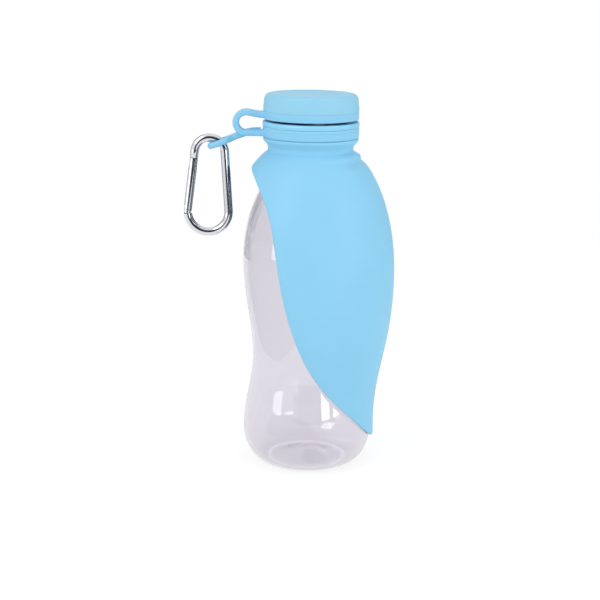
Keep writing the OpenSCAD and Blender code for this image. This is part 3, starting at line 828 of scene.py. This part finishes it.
class MakeCapCover(bpy.types.Operator):
    """Turns the cap's soft cover, with its rounded edge and shallow dish"""
    bl_idname = "bottle.cap_cover"
    bl_label = "Cap cover"

    def execute(self, context):
        s = sizes(context, "cap")
        r, e = s.cap_r, s.edge_r
        foot = s.foot_z - 0.22
        line = [(s.skin_in, foot + 0.1), (s.skin_in + 0.1, foot), (r - 0.03, foot), (r, foot + 0.03),
                (r, foot + 0.4), (r, foot + 1.6), (r - 0.1, foot + 3)]
        line += [(p.x, p.y) for p in arc(r - 0.5 - e, s.top_z - e, e, 12, 90, 12)]
        line += [(r - e - 2.6, s.top_z - 0.03), (r - e - 3.6, s.top_z - s.dish * 0.35),
                 (r - e - 4.6, s.top_z - s.dish * 0.8), (r - e - 6, s.top_z - s.dish),
                 (8, s.top_z - s.dish - 0.1), (0, s.top_z - s.dish - 0.12),
                 (0, s.under_z + 0.1), (s.skin_in - 0.4, s.under_z + 0.1), (s.skin_in, s.under_z - 0.3)]
        piece = turned("cap_cover", line, 192)
        done(piece, "cap_cover", 50)
        finish(piece, "soft silicone cover", "silicone", "cap", ["cap_skin"])
        return {"FINISHED"}


class MakeHook(bpy.types.Operator):
    """Bends the snap hook's rod, with its nose, its notched tongue and the gate's heel"""
    bl_idname = "bottle.hook"
    bl_label = "Snap hook"

    def execute(self, context):
        s, y = sizes(context, "hook"), sizes(context, "tether").side
        top, low = Vector((-s.top_x, s.top_z)), Vector((-s.low_x, s.low_z))
        span = (low - top).length
        aim = math.atan2(low.y - top.y, low.x - top.x)
        touch = math.acos((s.top_r - s.low_r) / span)
        left, right = aim - touch, aim + touch
        run = span * math.sin(touch)
        gate = left - math.pi / 2 + (2 * math.pi if left < 0 else 0)
        up = Vector((math.cos(gate), math.sin(gate)))
        side = Vector((up.y, -up.x))
        pivot = low + Vector((math.cos(left), math.sin(left))) * s.low_r

        def on_gate(x, h):
            """A point beside the gate's line, in the plane of x and z."""
            return pivot + side * x + up * h

        def off_plane(x, h, across):
            """The same point, a way across from the hook's plane."""
            place = on_gate(x, h)
            return (place.x, y + across, place.y)

        # The rod is bent from its nose over the top, down the long leg and round to the heel
        start = on_gate(0, run - s.nose_l)
        alone()
        bpy.ops.mesh.primitive_circle_add(vertices=40, radius=(s.wire_d / 2 - 0.4) * MM, fill_type="NGON",
                                          location=(start.x * MM, y * MM, start.y * MM),
                                          rotation=(0, math.pi / 2 - gate, 0))
        piece = bpy.context.object
        bpy.ops.object.transform_apply(location=True, rotation=True, scale=True)
        bpy.ops.object.mode_set(mode="EDIT")
        bpy.ops.mesh.select_all(action="SELECT")

        def onward(step, r_old, r_new):
            move = (up.x * step * MM, 0, up.y * step * MM)
            bpy.ops.mesh.extrude_region_move(TRANSFORM_OT_translate={"value": move})
            if r_new != r_old:
                bpy.ops.transform.resize(value=(r_new / r_old,) * 3)

        r = s.wire_d / 2
        onward(0.12, r - 0.4, r - 0.12)
        onward(0.28, r - 0.12, r)
        onward(s.nose_l - 0.4, r, r)
        turn = (left - right) % (2 * math.pi)
        bpy.ops.mesh.spin(steps=36, angle=-turn, center=(top.x * MM, y * MM, top.y * MM), axis=(0, 1, 0))
        leg = Vector((math.sin(right), -math.cos(right)))
        move = (leg.x * run * MM, 0, leg.y * run * MM)
        bpy.ops.mesh.extrude_region_move(TRANSFORM_OT_translate={"value": move})
        bpy.ops.mesh.spin(steps=40, angle=-(2 * math.pi - turn - math.radians(12)),
                          center=(low.x * MM, y * MM, low.y * MM), axis=(0, 1, 0))
        tidy(piece)

        def plate(name, outline, half_t, ease):
            """A flat piece in the plane of the hook, with eased edges."""
            heart = sum(outline, Vector((0, 0))) / len(outline)
            rings = []
            for h, shrink in ((-half_t, ease), (-half_t + ease, 0), (half_t - ease, 0), (half_t, ease)):
                ring = []
                for p in outline:
                    q = p + (heart - p).normalized() * shrink
                    ring.append(off_plane(q.x, q.y, h))
                rings.append(ring)
            return skinned(name, rings)

        # The heel is a flat ear about the rivet, and the tongue ends in a notch for the latch pin
        ear = arc(0, 0, HEEL_R, 0, 180, 15)
        ear += [Vector(p) for p in ((-HEEL_R, -1.7), (-HEEL_R, -3.4), (HEEL_R, -3.4), (HEEL_R, -1.7))]
        heel = plate("heel", ear, s.tongue_t / 2, 0.15)
        hole = [[off_plane(RIVET_R * math.cos(a), RIVET_R * math.sin(a), across)
                 for a in (math.pi * i / 12 for i in range(24))] for across in (-3, 3)]
        joined(heel, skinned("rivet_hole", hole), "DIFFERENCE")
        high = run - s.nose_l
        latch = high - 0.3 - 2.3
        tongue = plate("tongue", [Vector(p) for p in (
            (-1.7, high - 4.6), (1.7, high - 4.6), (1.7, latch - LATCH_HALF), (-0.8, latch - LATCH_HALF),
            (-0.8, latch + LATCH_HALF), (1.7, latch + LATCH_HALF), (1.7, high + 0.5),
            (-1.7, high + 0.5))], s.tongue_t / 2, 0.12)
        grouped(piece, heel, tongue)
        done(piece, "hook_rod", 40)
        finish(piece, "polished aluminium rod", "polished_aluminium", "hook", ["hook_frame"])
        return {"FINISHED"}


class MakeStage(bpy.types.Operator):
    """Sets the camera, the pale floor, the soft lamps and the plain background"""
    bl_idname = "bottle.stage"
    bl_label = "Stage"

    def execute(self, context):
        scene = context.scene
        scene.view_settings.view_transform = "Standard"
        bpy.ops.object.select_all(action="DESELECT")
        # The camera stands 0.72 m in front of the bottle and looks 13 degrees down on it
        place, aim = Vector((0, -0.72, 0.274)), Vector((0, 0, 0.105))
        lens = bpy.data.cameras.new("camera")
        lens.sensor_width = 36
        lens.lens = 78.32
        lens.shift_x, lens.shift_y = -0.01467, -0.0335
        lens.clip_start, lens.clip_end = 0.01, 20
        camera = bpy.data.objects.new("camera", lens)
        scene.collection.objects.link(camera)
        camera.location = place
        camera.rotation_euler = (aim - place).to_track_quat("-Z", "Y").to_euler()
        camera.rotation_euler.rotate_axis("Z", math.radians(0.84))
        scene.camera = camera

        def lamp(name, at, size, power, across):
            light = bpy.data.lights.new(name, "AREA")
            light.shape = "RECTANGLE"
            light.size, light.size_y = size, across
            light.energy = power
            obj = bpy.data.objects.new(name, light)
            scene.collection.objects.link(obj)
            obj.location = at
            ahead = Vector((0, 0, 0.1)) - Vector(at)
            obj.rotation_euler = ahead.to_track_quat("-Z", "Y").to_euler()

        lamp("window_lamp_left", (-0.9, -0.75, 0.95), 0.5, 5.6, 0.8)
        lamp("lamp_right", (1.0, -0.6, 0.6), 0.6, 2.9, 0.6)
        lamp("window_pane_near", (0.62, -0.91, 0.09), 0.3, 0.65, 0.17)
        lamp("window_pane_far", (0.93, -0.59, 0.09), 0.33, 0.65, 0.17)
        lamp("window_pane_left", (-0.93, -0.6, 0.09), 0.36, 0.4, 0.17)

        # Floor: white card. To the camera, and in gloss and glass, it shows as the white
        # background with the bottle's faint shadow on it.
        bpy.ops.mesh.primitive_circle_add(vertices=96, radius=0.62, fill_type="NGON", location=(0, 0, 0))
        floor = bpy.context.object
        floor.name = floor.data.name = "floor"
        material, tree, _ = blank("white card")
        card = add(tree, "ShaderNodeBsdfDiffuse", {"Color": (0.82, 0.82, 0.82, 1.0)})
        half = add(tree, "ShaderNodeBsdfDiffuse", {"Color": (0.26, 0.26, 0.26, 1.0)})
        glow = add(tree, "ShaderNodeEmission", {"Color": (1, 1, 1, 1), "Strength": 0.815})
        lifted = add(tree, "ShaderNodeAddShader", {0: half.outputs[0], 1: glow.outputs[0]})
        path = add(tree, "ShaderNodeLightPath")
        seen = maths(tree, "MAXIMUM", path.outputs["Is Camera Ray"], path.outputs["Is Glossy Ray"])
        seen = maths(tree, "MAXIMUM", seen, path.outputs["Is Transmission Ray"])
        shaded(material, tree, mixed(tree, seen, card, lifted))
        floor.data.materials.append(material)

        # World: an even grey-white room for the light, and white behind the object. Gloss sees
        # the same white, two white walls and a white ceiling, with the dark of the room between them.
        world = bpy.data.worlds.new("studio")
        world.use_nodes = True
        scene.world = world
        tree = world.node_tree
        tree.nodes.clear()
        way = add(tree, "ShaderNodeTexCoord").outputs["Generated"]
        parts = add(tree, "ShaderNodeSeparateXYZ", {0: way})
        front = maths(tree, "MULTIPLY", parts.outputs["Y"], -1.0)
        turn = maths(tree, "ARCTAN2", parts.outputs["X"], front)
        turn = maths(tree, "MULTIPLY_ADD", turn, 1 / (2 * math.pi), 0.5)
        walls = add(tree, "ShaderNodeValToRGB", {0: turn})
        # Each stop is a share of the way round from the back, past the left, and its brightness
        stops = [(0.0, 1.0), (0.06, 1.0), (0.085, 0.12), (0.14, 0.18), (0.18, 0.95), (0.42, 1.0),
                 (0.46, 0.05), (0.62, 0.03), (0.66, 0.75), (0.8, 0.9), (0.84, 0.2), (0.91, 0.14),
                 (0.94, 1.0), (1.0, 1.0)]
        ramp = walls.color_ramp
        while len(ramp.elements) < len(stops):
            ramp.elements.new(0.5)
        for element, (at, value) in zip(ramp.elements, stops):
            element.position = at
            element.color = (value, value, value * 1.02, 1)
        high = add(tree, "ShaderNodeMapRange", {
            "Value": parts.outputs["Z"], "From Min": 0.55, "From Max": 0.85})
        dark = add(tree, "ShaderNodeMix", {
            "Factor": high.outputs["Result"], "A": walls.outputs["Color"], "B": (1, 1, 1, 1)}, data_type="RGBA")
        path = add(tree, "ShaderNodeLightPath")
        room = add(tree, "ShaderNodeBackground", {"Color": (0.97, 0.985, 1.0, 1.0), "Strength": 0.72})
        gloss = add(tree, "ShaderNodeBackground", {"Color": dark.outputs["Result"], "Strength": 1.0})
        white = add(tree, "ShaderNodeBackground", {"Color": (1, 1, 1, 1), "Strength": 1.0})
        seen = maths(tree, "MAXIMUM", path.outputs["Is Camera Ray"], path.outputs["Is Transmission Ray"])
        lit = mixed(tree, path.outputs["Is Glossy Ray"], room, gloss)
        add(tree, "ShaderNodeOutputWorld", {0: mixed(tree, seen, lit, white).outputs[0]})
        return {"FINISHED"}


STEPS = [MakeMaterials, MakeBottle, MakeLeaf, MakeTether, MakeHookStrap, MakeCapCover, MakeHook, MakeStage]


class BottlePanel(bpy.types.Panel):
    """Lists the pieces of the travel bottle and their sizes"""
    bl_idname = "VIEW3D_PT_travel_bottle"
    bl_label = "Travel bottle"
    bl_space_type = "VIEW_3D"
    bl_region_type = "UI"
    bl_category = "Bottle"

    def draw(self, context):
        for step in STEPS:
            self.layout.operator(step.bl_idname)
        settings = context.scene.travel_bottle
        for name in ("bottle", "thread", "leaf", "tether", "cap", "hook", "finish"):
            box = self.layout.box()
            box.label(text=name.title())
            group = getattr(settings, name)
            for item in group.bl_rna.properties:
                if item.identifier not in {"name", "rna_type"}:
                    box.prop(group, item.identifier)


CLASSES = [BottleSizes, ThreadSizes, LeafSizes, TetherSizes, CapSizes, HookSizes, Finishes,
           BottleSettings] + STEPS + [BottlePanel]


def register():
    for item in CLASSES:
        bpy.utils.register_class(item)
    bpy.types.Scene.travel_bottle = bpy.props.PointerProperty(type=BottleSettings)


def unregister():
    del bpy.types.Scene.travel_bottle
    for item in reversed(CLASSES):
        bpy.utils.unregister_class(item)


def main():
    register()
    bpy.ops.bottle.materials()
    bpy.ops.bottle.bottle()
    bpy.ops.bottle.leaf()
    bpy.ops.bottle.tether()
    bpy.ops.bottle.hook_strap()
    bpy.ops.bottle.cap_cover()
    bpy.ops.bottle.hook()
    bpy.ops.bottle.stage()


if __name__ == "__main__":
    main()
